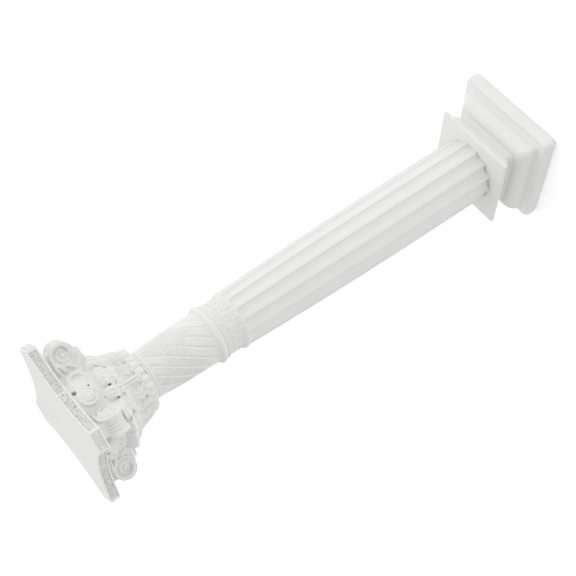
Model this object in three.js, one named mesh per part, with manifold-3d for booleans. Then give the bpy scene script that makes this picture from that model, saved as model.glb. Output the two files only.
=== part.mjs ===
// A tabletop column cast in white plaster: a moulded square base, a fluted shaft with a carved neck,
// and a leafy capital with corner volutes. Millimetres, +Z up, origin under the middle of the base.
import * as THREE from "three";
import { mergeVertices } from "three/addons/utils/BufferGeometryUtils.js";
import Module from "manifold-3d";

// Driving dimensions of the whole column
const HEIGHT = 420;
const BASE_HEIGHT = 43.6;
const CAPITAL_HEIGHT = 63.4;
const JOINT_GAP = 0.4;
const PLASTER = 0xeeeeec;

// Vertices closer than this are one vertex
const MERGE = 1e-4;

// Base: half widths and heights of its mouldings
const SLAB = { half: 45, bullnose: 1.6, height: 11.6, corner: 3 };
const BODY = { half: 37.5, cove: 0.6, ledge: 11.8, shoulder: 28.4, foot: 12.6, height: 25.8, corner: 4 };
const FILLET = { half: 28.2, height: 27.5 };
const RECESS = { half: 26.5, foot: 28.4, height: 31.5 };
const NECKING = { half: 31, foot: 36, height: 38 };
const PLATE = { half: 34.9, thickness: 3.1, corner: 0.8, bevel: 0.4 };
const CORNER_STEPS = 3;
const OVOLO_STEPS = 5;
const BULLNOSE_SHARES = [0, 0.2, 0.5, 0.8, 1];

// Shaft: radii and heights
const SHAFT = { foot: 26, top: 22.1, swell: 1.3, undercut: 1.2, footEdge: 1.8, middle: 150 };
const FLUTES = { count: 14, end: 277, rounding: 6, depth: 2.3, ridge: 0.19, phase: 24.4 };
const FLUTE_SIDE = { at: 0.2, hollow: 0.8 };
const ROUNDING_SHARES = [0, 0.7, 1];
const BAND = { foot: 281.5, footRadius: 21, shoulder: 287.5, waist: 20.6, leaf: 1.1, fade: 0.7 };
const RING = { foot: 290.5, fillet: 21.8, filletTop: 293.1, groove: 21, grooveTop: 293.9 };
const TORUS = { radius: 23.1, top: 301 };
const TORUS_TURNS = [-55, 0, 55];
const NECK = { foot: 20.2, top: 18.4, twist: 100, rib: 0.8, start: 302, steps: 6 };
const COLLAR = { height: 3.2, radius: 18.3, rise: 0.5 };

// Capital: bell, leaves, volutes, helices and abacus. Heights here run from the foot of the capital.
const BELL = {
  foot: 18.2,
  ring: 22.4,
  lobes: 24,
  lobe: 1.8,
  ringTop: 6.6,
  profile: [[8, 23.8], [18, 27.2], [29, 30.6], [50, 35]],
};
const ABACUS = { thickness: 8, corner: 62.8, horn: 8, cut: 0.4, hollow: 8.4, bevel: 0.8, sidePoints: 6 };
const VOLUTE = { out: 47, drop: 20.6, radius: 9, width: 17, rim: 0.92, edge: 1.2, waist: 0.84, sides: 14 };
const VOLUTE_BAND = { share: 0.88, turns: 1.4, proud: 1.5 };
const ARM = { from: 22, width: 13, rise: 0.9 };
const HELIX = { side: 7.4, out: 34.8, drop: 18.4, radius: 7, depth: 8, sides: 12 };
const HELIX_BAND = { share: 0.9, turns: 1, proud: 1.2 };
const LEAF_ROOT = 8.5;
const LOWER_LEAF = { count: 8, turn: 22.5, tip: 30, reach: 35, curl: 2.4, width: 12.5, proud: 0.2 };
const MIDDLE_LEAF = { count: 4, turn: 0, tip: 33, reach: 39.6, curl: 3.2, width: 13, proud: 0.9 };
const CORNER_LEAF = { count: 4, turn: 45, tip: 32.6, reach: 44, curl: 3.4, width: 12, proud: 0.9 };

const radians = THREE.MathUtils.degToRad;
const wasm = await Module();
wasm.setup();

// Joins rings of equal length into one closed body. The rings run from the bottom to the top, and each
// turns counter-clockwise seen from above.
function closedBody(rings) {
  const count = rings[0].length;
  const positions = rings.flat().flatMap((p) => [p.x, p.y, p.z]);
  const indices = [];
  for (let row = 0; row + 1 < rings.length; row += 1) {
    for (let i = 0; i < count; i += 1) {
      const a = row * count + i;
      const b = row * count + ((i + 1) % count);
      indices.push(a, b, b + count, a, b + count, a + count);
    }
  }
  for (const [row, outward] of [[0, false], [rings.length - 1, true]]) {
    const middle = positions.length / 3;
    const centre = rings[row].reduce((sum, p) => sum.add(p), new THREE.Vector3()).divideScalar(count);
    positions.push(centre.x, centre.y, centre.z);
    for (let i = 0; i < count; i += 1) {
      const a = row * count + i;
      const b = row * count + ((i + 1) % count);
      indices.push(...(outward ? [a, b, middle] : [b, a, middle]));
    }
  }
  const geometry = new THREE.BufferGeometry();
  geometry.setAttribute("position", new THREE.Float32BufferAttribute(positions, 3));
  geometry.setIndex(indices);
  return geometry;
}

// Turns a closed geometry into a solid that can be joined or cut
function solidOf(geometry) {
  const bare = geometry.clone();
  bare.deleteAttribute("normal");
  bare.deleteAttribute("uv");
  const merged = mergeVertices(bare, MERGE);
  return new wasm.Manifold(new wasm.Mesh({
    numProp: 3,
    vertProperties: new Float32Array(merged.attributes.position.array),
    triVerts: new Uint32Array(merged.index.array),
  }));
}

function geometryOf(solid) {
  const mesh = solid.getMesh();
  const geometry = new THREE.BufferGeometry();
  geometry.setAttribute("position", new THREE.BufferAttribute(new Float32Array(mesh.vertProperties), 3));
  geometry.setIndex(new THREE.BufferAttribute(new Uint32Array(mesh.triVerts), 1));
  return geometry;
}

function namedMesh(name, geometry) {
  geometry.computeVertexNormals();
  const plaster = new THREE.MeshStandardMaterial({ color: PLASTER, roughness: 0.75, metalness: 0 });
  plaster.name = "white plaster";
  const mesh = new THREE.Mesh(geometry, plaster);
  mesh.name = name;
  return mesh;
}

// A square with rounded corners, at one height
function squareRing(half, corner, z) {
  const ring = [];
  for (let quarter = 0; quarter < 4; quarter += 1) {
    const middle = new THREE.Vector2(half - corner, half - corner).rotateAround(
      new THREE.Vector2(), quarter * Math.PI / 2);
    for (let step = 0; step <= CORNER_STEPS; step += 1) {
      const angle = (quarter + step / CORNER_STEPS) * Math.PI / 2;
      ring.push(new THREE.Vector3(
        middle.x + corner * Math.cos(angle), middle.y + corner * Math.sin(angle), z));
    }
  }
  return ring;
}

// Points of a quarter ellipse from (half, z) at the start to the end: it leaves upright and arrives level
function quarterRound(start, end, steps) {
  return Array.from({ length: steps + 1 }, (_, i) => {
    const angle = i / steps * Math.PI / 2;
    return [
      end[0] + (start[0] - end[0]) * Math.cos(angle),
      start[1] + (end[1] - start[1]) * Math.sin(angle),
    ];
  });
}

function baseGeometry() {
  const plateFoot = BASE_HEIGHT - PLATE.thickness;
  const slab = BULLNOSE_SHARES.map((share) => [
    SLAB.half - SLAB.bullnose * (2 * share - 1) ** 2, SLAB.height * share,
  ]);
  const body = [
    [BODY.half + BODY.cove, BODY.ledge],
    ...quarterRound([BODY.half, BODY.foot], [BODY.shoulder, BODY.height], OVOLO_STEPS),
  ];
  const recess = [
    [FILLET.half, FILLET.height],
    [RECESS.half, RECESS.foot],
    [RECESS.half, RECESS.height],
    [(RECESS.half + NECKING.half) / 2, NECKING.foot],
    [NECKING.half, NECKING.height],
    [NECKING.half, plateFoot],
  ];
  const plate = [
    [PLATE.half, plateFoot],
    [PLATE.half, BASE_HEIGHT - PLATE.bevel],
    [PLATE.half - PLATE.bevel, BASE_HEIGHT],
  ];
  return closedBody([
    ...slab.map(([half, z]) => squareRing(half, SLAB.corner, z)),
    ...body.map(([half, z]) => squareRing(half, BODY.corner, z)),
    ...recess.map(([half, z]) => squareRing(half, BODY.corner, z)),
    ...plate.map(([half, z]) => squareRing(half, PLATE.corner, z)),
  ]);
}

// The five points of one flute: where each stands in its pitch, and how deep it lies there
const FLUTE_POINTS = [
  { at: 0, hollow: 0 },
  { at: FLUTES.ridge, hollow: 0 },
  { at: FLUTES.ridge + (1 - FLUTES.ridge) * FLUTE_SIDE.at, hollow: FLUTE_SIDE.hollow },
  { at: FLUTES.ridge + (1 - FLUTES.ridge) / 2, hollow: 1 },
  { at: 1 - (1 - FLUTES.ridge) * FLUTE_SIDE.at, hollow: FLUTE_SIDE.hollow },
];

// The same five points read as one rib of the neck, low at its seams and full between them
const RIB_HEIGHTS = [0, 0.7, 1, 0.9, 0.6];

// The same five points read as one leaf of the band, with its middle over the ridge
const LEAF_HEIGHTS = [1, 1, 0.3, 0, 0.3];

function shaftRing(z, turn, radiusAt) {
  const pitch = 360 / FLUTES.count;
  const ring = [];
  for (let flute = 0; flute < FLUTES.count; flute += 1) {
    FLUTE_POINTS.forEach((point, i) => {
      const angle = radians((flute + point.at) * pitch + FLUTES.phase + turn);
      const radius = radiusAt(i);
      ring.push(new THREE.Vector3(radius * Math.cos(angle), radius * Math.sin(angle), z));
    });
  }
  return ring;
}

function shaftGeometry() {
  const bottom = BASE_HEIGHT + JOINT_GAP;
  const top = HEIGHT - CAPITAL_HEIGHT - JOINT_GAP;
  const outside = (z) => {
    const share = (z - bottom) / (FLUTES.end - bottom);
    return SHAFT.foot - (SHAFT.foot - SHAFT.top) * share ** SHAFT.swell;
  };
  const fluted = (z, depth) => shaftRing(
    z, 0, (i) => outside(z) - FLUTES.depth * depth * FLUTE_POINTS[i].hollow);
  const round = (z, radius) => shaftRing(z, 0, () => radius);
  const leafy = (z, radius, height) => shaftRing(
    z, 0, (i) => radius + BAND.leaf * height * LEAF_HEIGHTS[i]);

  const rings = [
    shaftRing(bottom, 0, (i) => SHAFT.foot - SHAFT.undercut - FLUTES.depth * FLUTE_POINTS[i].hollow),
    fluted(bottom + SHAFT.footEdge, 1),
    fluted(SHAFT.middle, 1),
  ];
  for (const share of ROUNDING_SHARES) {
    rings.push(fluted(FLUTES.end - FLUTES.rounding * (1 - share), Math.sqrt(1 - share ** 2)));
  }
  rings.push(
    leafy(BAND.foot, BAND.footRadius, 1),
    leafy(BAND.shoulder, BAND.waist, BAND.fade),
    round(RING.foot, RING.fillet),
    round(RING.filletTop, RING.fillet),
    round(RING.grooveTop, RING.groove));
  const bead = (TORUS.top - RING.grooveTop) / 2;
  for (const turn of TORUS_TURNS) {
    rings.push(round(
      RING.grooveTop + bead * (1 + Math.sin(radians(turn))),
      TORUS.radius - bead * (1 - Math.cos(radians(turn)))));
  }
  const neckTop = top - COLLAR.height;
  for (let step = 0; step <= NECK.steps; step += 1) {
    const share = step / NECK.steps;
    const height = NECK.start + (neckTop - NECK.start) * share;
    const valley = NECK.foot + (NECK.top - NECK.foot) * share ** 2 - NECK.rib;
    const rib = step === 0 || step === NECK.steps ? 0 : NECK.rib;
    rings.push(shaftRing(height, NECK.twist * share, (i) => valley + rib * RIB_HEIGHTS[i]));
  }
  rings.push(shaftRing(neckTop + COLLAR.rise, NECK.twist, () => COLLAR.radius));
  rings.push(shaftRing(top, NECK.twist, () => COLLAR.radius));
  return closedBody(rings);
}

// The tongues round the foot of the bell: how far up, how far drawn in, and how full each lobe is there
const BELL_TONGUES = [
  { up: 0.12, back: 0, lobe: 0.4 },
  { up: 0.4, back: 0, lobe: 1 },
  { up: 0.8, back: 0.6, lobe: 1 },
  { up: 1, back: 1.2, lobe: 0 },
];

// A ring of the bell, plain or drawn out into lobes
function bellRing(z, radius, lobe) {
  const count = BELL.lobes * 2;
  return Array.from({ length: count }, (_, i) => {
    const angle = i / count * 2 * Math.PI;
    const reach = radius + (i % 2 === 0 ? lobe : 0);
    return new THREE.Vector3(reach * Math.cos(angle), reach * Math.sin(angle), z);
  });
}

function bell(foot, underside) {
  return closedBody([
    bellRing(foot, BELL.foot, 0),
    ...BELL_TONGUES.map(({ up, back, lobe }) => bellRing(
      foot + BELL.ringTop * up, BELL.ring - back, BELL.lobe * lobe)),
    ...BELL.profile.map(([z, radius]) => bellRing(foot + z, radius, 0)),
    bellRing(underside + ABACUS.bevel, BELL.profile.at(-1)[1], 0),
  ]);
}

// The radius of the bell behind the leaves, at a height above the foot of the capital
function bellRadius(up) {
  const stops = [[BELL.ringTop, BELL.ring - BELL_TONGUES.at(-1).back], ...BELL.profile];
  const above = Math.max(1, stops.findIndex(([z]) => z >= up));
  const [low, high] = [stops[above - 1], stops[above]];
  return THREE.MathUtils.mapLinear(up, low[0], high[0], low[1], high[1]);
}

// The front of a leaf, across its half width and out from its face, and how far in its back edges stand
const LEAF_FRONT = [[-1, -1.6], [-0.55, 0.4], [0, 1.4], [0.55, 0.4], [1, -1.6]];
const LEAF_BACK = { across: 0.8, sunk: 12, tip: 2 };

// Shares of a leaf's width from its root up, and where its stem leaves the bell
const LEAF_STEM = { rootWidth: 0.7, middle: 0.55, neckWidth: 0.95, neckBack: 0.4, neckDrop: 2.5 };

// The rolled tip: how far each section has turned over, in degrees, and its share of the width
const LEAF_ROLL = [[40, 0.8], [95, 0.6], [150, 0.3]];

// A leaf that stands against the bell with its tip rolled outwards and down. Its front has a proud midrib,
// and its back is sunk in the bell, or makes the underside of the tip.
function leaf(size, foot) {
  const shoulder = size.tip - size.curl;
  const rollReach = 1 - Math.cos(radians(LEAF_ROLL.at(-1)[0]));
  const rollStart = size.reach - size.curl * rollReach;
  const middle = LEAF_ROOT + (shoulder - LEAF_ROOT) * LEAF_STEM.middle;
  const stations = [
    { out: bellRadius(LEAF_ROOT) + size.proud, up: LEAF_ROOT, half: LEAF_STEM.rootWidth },
    { out: bellRadius(middle) + size.proud, up: middle, half: 1 },
    { out: rollStart - LEAF_STEM.neckBack, up: shoulder - LEAF_STEM.neckDrop, half: LEAF_STEM.neckWidth },
  ];
  const rings = [];
  const addSection = (centre, outward, half, back) => {
    const section = [[-LEAF_BACK.across, -back], ...LEAF_FRONT, [LEAF_BACK.across, -back]];
    rings.push(section.map(([across, proud]) => centre.clone()
      .addScaledVector(outward, proud)
      .setY(across * half * size.width / 2)));
  };
  for (const { out, up, half } of stations) {
    addSection(new THREE.Vector3(out, 0, foot + up), new THREE.Vector3(1, 0, 0), half, LEAF_BACK.sunk);
  }
  for (const [turn, half] of LEAF_ROLL) {
    const angle = radians(turn);
    const centre = new THREE.Vector3(
      rollStart + size.curl * (1 - Math.cos(angle)), 0, foot + shoulder + size.curl * Math.sin(angle));
    const outward = new THREE.Vector3(Math.cos(angle), 0, -Math.sin(angle));
    addSection(centre, outward, half, LEAF_BACK.tip);
  }
  return closedBody(rings);
}

// How a spiral fillet winds: the share of its radius that it loses, its band's share, and how that thins
const SPIRAL = { wound: 0.78, band: 0.26, thinning: 0.45, stepsPerTurn: 8, sunk: 1 };

// A spiral fillet of triangular section that stands on the plane y = 0 and winds in to its eye
function spiral(radius, turns, height) {
  const steps = Math.round(turns * SPIRAL.stepsPerTurn);
  const rings = [];
  for (let step = 0; step <= steps; step += 1) {
    const share = step / steps;
    const angle = share * turns * 2 * Math.PI;
    const reach = radius * (1 - SPIRAL.wound * share);
    const band = radius * SPIRAL.band * (1 - SPIRAL.thinning * share);
    const outward = new THREE.Vector3(Math.cos(angle), 0, Math.sin(angle));
    const centre = outward.clone().multiplyScalar(reach - band / 2);
    rings.push([
      centre.clone().addScaledVector(outward, -band / 2).setY(-SPIRAL.sunk),
      centre.clone().addScaledVector(outward, band / 2).setY(-SPIRAL.sunk),
      centre.clone().setY(height),
    ]);
  }
  return closedBody(rings);
}

// A corner scroll lying across the diagonal: a drum pinched at its middle, with a spiral on each end,
// and the arm that carries it from the bell
function volute() {
  const half = VOLUTE.width / 2;
  const profile = [
    [0, -half],
    [VOLUTE.radius * VOLUTE.rim, -half],
    [VOLUTE.radius, -half + VOLUTE.edge],
    [VOLUTE.radius * VOLUTE.waist, 0],
    [VOLUTE.radius, half - VOLUTE.edge],
    [VOLUTE.radius * VOLUTE.rim, half],
    [0, half],
  ].map(([x, y]) => new THREE.Vector2(x, y));
  const armLength = VOLUTE.out - ARM.from;
  const arm = new THREE.BoxGeometry(armLength, ARM.width, VOLUTE.radius);
  arm.translate(-armLength / 2, 0, VOLUTE.radius * ARM.rise);
  let solid = solidOf(new THREE.LatheGeometry(profile, VOLUTE.sides)).add(solidOf(arm));
  for (const side of [-1, 1]) {
    const band = spiral(VOLUTE.radius * VOLUTE_BAND.share, VOLUTE_BAND.turns, VOLUTE_BAND.proud);
    if (side < 0) {
      band.rotateZ(Math.PI);
    }
    band.translate(0, side * half, 0);
    solid = solid.add(solidOf(band));
  }
  return solid;
}

// A small scroll that faces along +Y, with its spiral in front
function helix(mirrored) {
  const drum = new THREE.CylinderGeometry(HELIX.radius, HELIX.radius, HELIX.depth, HELIX.sides);
  drum.translate(0, -HELIX.depth / 2, 0);
  const band = spiral(HELIX.radius * HELIX_BAND.share, HELIX_BAND.turns, HELIX_BAND.proud);
  const solid = solidOf(drum).add(solidOf(band));
  return mirrored ? solid.mirror([1, 0, 0]) : solid;
}

// The outline of the abacus: four hollow sides between four cut-off corners
function abacusRing(inset, z) {
  const ring = [];
  const corner = ABACUS.corner - inset;
  const horn = ABACUS.horn - inset * ABACUS.cut;
  const x = (corner + horn) * Math.SQRT1_2;
  const y = (corner - horn) * Math.SQRT1_2;
  for (let quarter = 0; quarter < 4; quarter += 1) {
    for (let step = 0; step <= ABACUS.sidePoints; step += 1) {
      const share = step / ABACUS.sidePoints * 2 - 1;
      const depth = ABACUS.hollow * (1 - share * share);
      ring.push(new THREE.Vector3(x - depth, share * y, z).applyAxisAngle(
        new THREE.Vector3(0, 0, 1), quarter * Math.PI / 2));
    }
  }
  return ring;
}

function abacus() {
  const underside = HEIGHT - ABACUS.thickness;
  return closedBody([
    abacusRing(ABACUS.bevel, underside),
    abacusRing(0, underside + ABACUS.bevel),
    abacusRing(0, HEIGHT - ABACUS.bevel),
    abacusRing(ABACUS.bevel, HEIGHT),
  ]);
}

function capitalGeometry() {
  const foot = HEIGHT - CAPITAL_HEIGHT;
  const underside = HEIGHT - ABACUS.thickness;
  let solid = solidOf(bell(foot, underside)).add(solidOf(abacus()));
  const scroll = volute().translate([VOLUTE.out, 0, HEIGHT - VOLUTE.drop]);
  for (let quarter = 0; quarter < 4; quarter += 1) {
    solid = solid.add(scroll.rotate([0, 0, 45 + quarter * 90]));
    for (const side of [-1, 1]) {
      const curl = helix(side > 0)
        .translate([side * HELIX.side, HELIX.out, HEIGHT - HELIX.drop])
        .rotate([0, 0, quarter * 90]);
      solid = solid.add(curl);
    }
  }
  for (const size of [LOWER_LEAF, MIDDLE_LEAF, CORNER_LEAF]) {
    const blade = solidOf(leaf(size, foot));
    for (let i = 0; i < size.count; i += 1) {
      solid = solid.add(blade.rotate([0, 0, size.turn + i * 360 / size.count]));
    }
  }
  return geometryOf(solid);
}

const column = new THREE.Group();
column.add(namedMesh("base", baseGeometry()));
column.add(namedMesh("shaft", shaftGeometry()));
column.add(namedMesh("capital", capitalGeometry()));

export default column;
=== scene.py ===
"""A tabletop column cast in white plaster, standing on its foot in a pale studio.

Three castings are stacked: a square moulded base, a fluted shaft with a carved neck, and a leafy capital
with corner scrolls. Each has an operator that makes it from the sizes in the sidebar, and one operator
makes the floor, the lights and the camera.
"""

import math
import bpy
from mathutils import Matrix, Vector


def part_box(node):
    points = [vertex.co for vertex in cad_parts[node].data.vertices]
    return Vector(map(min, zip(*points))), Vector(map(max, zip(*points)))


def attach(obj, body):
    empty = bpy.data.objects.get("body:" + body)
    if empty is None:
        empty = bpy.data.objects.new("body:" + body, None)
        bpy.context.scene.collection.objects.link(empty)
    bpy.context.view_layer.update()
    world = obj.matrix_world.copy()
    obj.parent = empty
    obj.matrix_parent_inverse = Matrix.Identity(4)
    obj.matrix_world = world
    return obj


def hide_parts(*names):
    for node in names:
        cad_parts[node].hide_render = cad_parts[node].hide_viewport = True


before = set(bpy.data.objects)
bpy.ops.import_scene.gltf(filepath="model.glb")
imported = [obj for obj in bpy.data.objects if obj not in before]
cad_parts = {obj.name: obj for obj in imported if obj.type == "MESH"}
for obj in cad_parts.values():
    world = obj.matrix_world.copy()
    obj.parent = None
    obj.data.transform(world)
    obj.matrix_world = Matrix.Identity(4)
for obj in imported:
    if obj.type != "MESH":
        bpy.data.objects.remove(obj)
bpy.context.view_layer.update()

from types import SimpleNamespace

import bmesh
import bpy
import numpy as np
from bpy.props import FloatProperty, FloatVectorProperty, IntProperty, PointerProperty
from mathutils import Matrix, Vector, noise

bl_info = {
    "name": "Plaster column",
    "version": (1, 0, 0),
    "blender": (4, 5, 0),
    "location": "View3D > Sidebar > Column",
    "description": "Makes a small plaster column: a moulded base, a fluted shaft and a leafy capital",
    "category": "Add Mesh",
}

MM = 0.001

_, base_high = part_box("base")
shaft_low, shaft_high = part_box("shaft")
capital_low, capital_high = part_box("capital")


def length(name, millimetres, description):
    """A length in the sidebar, given here in millimetres"""
    return FloatProperty(
        name=name, description=description, default=millimetres * MM, unit="LENGTH", precision=5)


def angle_of(name, degrees, description):
    """An angle in the sidebar, given here in degrees"""
    return FloatProperty(
        name=name, description=description, default=math.radians(degrees), subtype="ANGLE")


def number_of(name, default, description, most):
    """A plain number in the sidebar, from nothing up to the most it may be"""
    return FloatProperty(name=name, description=description, default=default, min=0, max=most)


def count_of(name, default, description):
    """A whole number of things in the sidebar"""
    return IntProperty(name=name, description=description, default=default, min=1)


def colour_of(name, default, description):
    """A colour in the sidebar"""
    return FloatVectorProperty(
        name=name, description=description, default=default, subtype="COLOR", size=3, min=0, max=1)


def from_mm(group):
    """The values of a property group: lengths in millimetres, everything else as it is"""
    sizes = {}
    for prop in group.bl_rna.properties:
        if prop.identifier in ("rna_type", "name"):
            continue
        value = getattr(group, prop.identifier)
        sizes[prop.identifier] = value / MM if getattr(prop, "unit", "NONE") == "LENGTH" else value
    return SimpleNamespace(**sizes)


# Sizes


class BaseSizes(bpy.types.PropertyGroup):
    """Sizes of the base casting"""

    slab: length("Slab", 45.0, "Half the width of the foot slab at the middle of its rounded edge")
    slab_height: length("Slab height", 11.7, "Height of the foot slab")
    bullnose: length("Bullnose", 1.6, "How far the slab's edge is rounded back at its top and bottom")
    body: length("Block", 37.7, "Half the width of the moulded block where it stands on the slab")
    shoulder: length("Shoulder", 28.3, "Half the width of the block where its rounded side ends")
    waist: length("Waist", 26.4, "Half the width of the hollow under the plate")
    necking: length("Necking", 30.9, "Half the width of the member that carries the plate")
    plate: length("Plate", 34.9, "Half the width of the thin plate on top")
    plate_height: length("Plate height", 3.1, "Thickness of the thin plate on top")
    corner: length("Corner", 3.8, "Radius of the block's corners, seen from above")
    swelling: length("Swelling", 1.0, "How far one corner of the slab bulges, as it left the mould")


class ShaftSizes(bpy.types.PropertyGroup):
    """Sizes of the shaft casting"""

    foot: length("Foot", 26.0, "Radius over the ridges at the foot")
    top: length("Top", 22.1, "Radius over the ridges where the flutes end")
    swell: length("Swell", 1.17, "How far the shaft swells beyond a straight taper")
    undercut: length("Undercut", 1.6, "How far the foot is chipped back where it meets the plate")
    flutes: count_of("Flutes", 14, "Number of flutes round the shaft")
    flute_depth: length("Flute depth", 2.3, "How deep the flutes are hollowed")
    ridge: number_of("Ridge", 0.19, "Share of the girth left as ridges between flutes", 0.9)
    turn: angle_of("Turn", 26.8, "Turn of the first ridge from the +X side")
    flute_end: length("Flute end", 277.5, "Height of the rounded tops of the flutes")
    ring: length("Ring", 23.0, "Radius of the ring between the flutes and the neck")
    ring_height: length("Ring height", 298.8, "Height of the ring's widest part")
    neck_foot: length("Neck foot", 20.3, "Radius of the neck above the ring")
    neck_top: length("Neck top", 18.5, "Radius of the neck under the capital")
    twist: angle_of("Twist", 104, "Turn of the carved ribbons from foot to top of the neck")
    ribbon: length("Ribbon", 1.0, "How far the carved ribbons of the neck stand proud")
    stroke: length("Stroke", 1.9, "Spacing of the cut strokes across each ribbon")


class CapitalSizes(bpy.types.PropertyGroup):
    """Sizes of the capital casting"""

    voxel: length("Grain", 0.4, "Size of the smallest detail kept when the parts are fused")
    abacus: length("Top plate", 8.0, "Thickness of the top plate")
    corner: length("Corner", 62.8, "Distance from the axis to the cut-off corners of the top plate")
    horn: length("Horn", 8.0, "Half the width of each cut-off corner")
    hollow: length("Hollow", 8.4, "How far the sides of the top plate are hollowed")
    volute_out: length("Scroll place", 47.0, "Distance from the axis to the middle of each corner scroll")
    volute_drop: length("Scroll drop", 20.6, "Depth of the corner scrolls' middles below the top")
    volute: length("Scroll", 9.1, "Radius of the corner scrolls")
    volute_width: length("Scroll width", 17.6, "Width of the corner scrolls across the diagonal")
    helix_side: length("Small scroll side", 7.4, "Distance of a small scroll from the middle of its side")
    helix_out: length("Small scroll place", 35.0, "Distance of the small scrolls' faces from the axis")
    helix_drop: length("Small scroll drop", 18.4, "Depth of the small scrolls' middles below the top")
    helix: length("Small scroll", 7.0, "Radius of the small scrolls")
    carving: length("Carving", 1.2, "Depth of the scrollwork on the edge of the top plate")
    tongue: length("Tongue height", 7.2, "Height of the small tongues round the foot")
    tongue_proud: length("Tongue", 3.1, "How far the foot tongues stand out")
    frill: length("Leaf tips", 38.6, "Distance from the axis to the rolled tips of the leaves")
    corner_tip: length("Corner tips", 6.6, "How much further the tips of the corner leaves reach")
    leaf_proud: length("Leaf", 3.6, "How far the leaves stand out from the bell")
    volute_ribs: count_of("Scroll ribs", 6, "Ribs along each corner scroll")


class Finish(bpy.types.PropertyGroup):
    """Colours and surface of the plaster, the floor and the light"""

    plaster: colour_of("Plaster", (0.765, 0.765, 0.76), "Colour of the plaster")
    roughness: number_of("Roughness", 0.62, "Roughness of the plaster", 1)
    floor: colour_of("Floor", (0.94, 0.94, 0.94), "Colour of the studio floor")
    sky: number_of("Room light", 0.18, "Strength of the light from the dim side", 10)
    zenith: number_of("Top light", 1.22, "Strength of the light from the bright side, nearly overhead", 10)
    lamp: number_of("Lamp", 0.43, "Strength of the broad lamp", 10)
    lamp_spread: angle_of("Lamp spread", 60, "How broad the lamp is, seen from the column")


# Mesh helpers. Shapes are worked out in millimetres and turned into metres when the object is made


def skin(rings):
    """Vertices and faces of a closed body through rings of points, given from one end to the other"""
    rings = np.asarray(rings, dtype=float)
    rows, count = rings.shape[:2]
    around = np.arange(count)
    beside = (around + 1) % count
    faces = []
    for row in range(rows - 1):
        low, high = row * count, (row + 1) * count
        faces += np.stack([low + around, low + beside, high + beside, high + around], axis=1).tolist()
    faces.append(list(range(count - 1, -1, -1)))
    faces.append(list(range((rows - 1) * count, rows * count)))
    return rings.reshape(-1, 3), faces


def joined(bodies):
    """Several bodies as one list of vertices and one of faces"""
    points, faces, start = [], [], 0
    for body_points, body_faces in bodies:
        points.append(body_points)
        faces += [[start + i for i in face] for face in body_faces]
        start += len(body_points)
    return np.concatenate(points), faces


def in_scene(name, data):
    """A new object from a mesh, a camera or a light, put in the scene"""
    obj = bpy.data.objects.new(name, data)
    bpy.context.scene.collection.objects.link(obj)
    return obj


def casting(name, points, faces):
    """A new object from points in millimetres"""
    mesh = bpy.data.meshes.new(name)
    mesh.from_pydata((points * MM).tolist(), [], faces)
    mesh.update()
    return in_scene(name, mesh)


def settle(obj):
    """Applies the object's modifiers to its mesh"""
    graph = bpy.context.evaluated_depsgraph_get()
    mesh = bpy.data.meshes.new_from_object(obj.evaluated_get(graph))
    obj.modifiers.clear()
    old, obj.data = obj.data, mesh
    mesh.name = obj.name
    bpy.data.meshes.remove(old)


def per_vertex(obj, kind):
    """One vector for each of the object's vertices: its place, or the direction in which it faces"""
    vectors = np.empty(len(obj.data.vertices) * 3)
    obj.data.vertices.foreach_get(kind, vectors)
    return vectors.reshape(-1, 3)


def move_vertices(obj, points):
    """Puts the object's vertices at these places in millimetres"""
    obj.data.vertices.foreach_set("co", (points * MM).ravel())
    obj.data.update()


def uneven(points, grain, depth):
    """Small gentle swellings of a cast surface: one number for each point"""
    return np.array([noise.noise(Vector(p)) for p in points / grain]) * depth


def swell_out(points, depths):
    """Moves points straight out from the column's axis, each by its own depth"""
    out = points[:, :2] / np.linalg.norm(points[:, :2], axis=1)[:, None]
    points[:, :2] += out * depths[:, None]


def turned(points, angle):
    """Points turned about the column's axis"""
    c, s = math.cos(angle), math.sin(angle)
    return points @ np.array([[c, s, 0], [-s, c, 0], [0, 0, 1]])


def drilled(obj, holes):
    """Sinks small round holes: each is a place, the direction out of the surface, a radius and a depth"""
    bm = bmesh.new()
    for place, outward, radius, depth in holes:
        outward = Vector(outward).normalized()
        stretch = Matrix.Diagonal((radius, radius, depth, 1))
        where = Matrix.Translation(Vector(place)) @ outward.to_track_quat("Z", "Y").to_matrix().to_4x4()
        shape = Matrix.Scale(MM, 4) @ where @ stretch
        bmesh.ops.create_icosphere(bm, subdivisions=2, radius=1, matrix=shape)
    mesh = bpy.data.meshes.new("drill")
    bm.to_mesh(mesh)
    bm.free()
    drill = in_scene("drill", mesh)
    cut = obj.modifiers.new("drill", "BOOLEAN")
    cut.operation = "DIFFERENCE"
    cut.solver = "MANIFOLD"
    cut.object = drill
    settle(obj)
    bpy.data.objects.remove(drill)
    bpy.data.meshes.remove(mesh)


def dressed(obj, node, sharp):
    """Finishes a casting: smooth but for edges sharper than an angle in degrees, in plaster, in its place"""
    obj.data.shade_smooth()
    obj.data.set_sharp_from_angle(angle=math.radians(sharp))
    obj.data.materials.clear()
    obj.data.materials.append(plaster())
    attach(obj, "root")
    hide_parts(node)


# Shares and humps that the reliefs are made of


def ramp(x, low, high):
    """0 below low, 1 above high, and smooth between them"""
    t = np.clip((x - low) / (high - low), 0, 1)
    return t * t * (3 - 2 * t)


def dome(across):
    """A rounded hump: 1 in its middle, falling to 0 at one side and the other"""
    return np.sqrt(np.clip(1 - across ** 2, 0, 1))


def fraction(x):
    """How far x is past the last whole number"""
    return x - np.floor(x)


# Plaster


CLOUD_SCALE, SAND_SCALE, GRAIN_SCALE, PINHOLE_SCALE = 38, 140, 900, 260
CLOUD_TONES = (0.965, 1.02)
# Colour inside the pinholes: painted shade of the pits
PINHOLE_PAINTED_SHADE = 0.86
PINHOLE_EDGE = (0.03, 0.11)
SAND_SHARE = 2.5
GRAIN_DEPTH = 0.12 * MM


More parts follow.
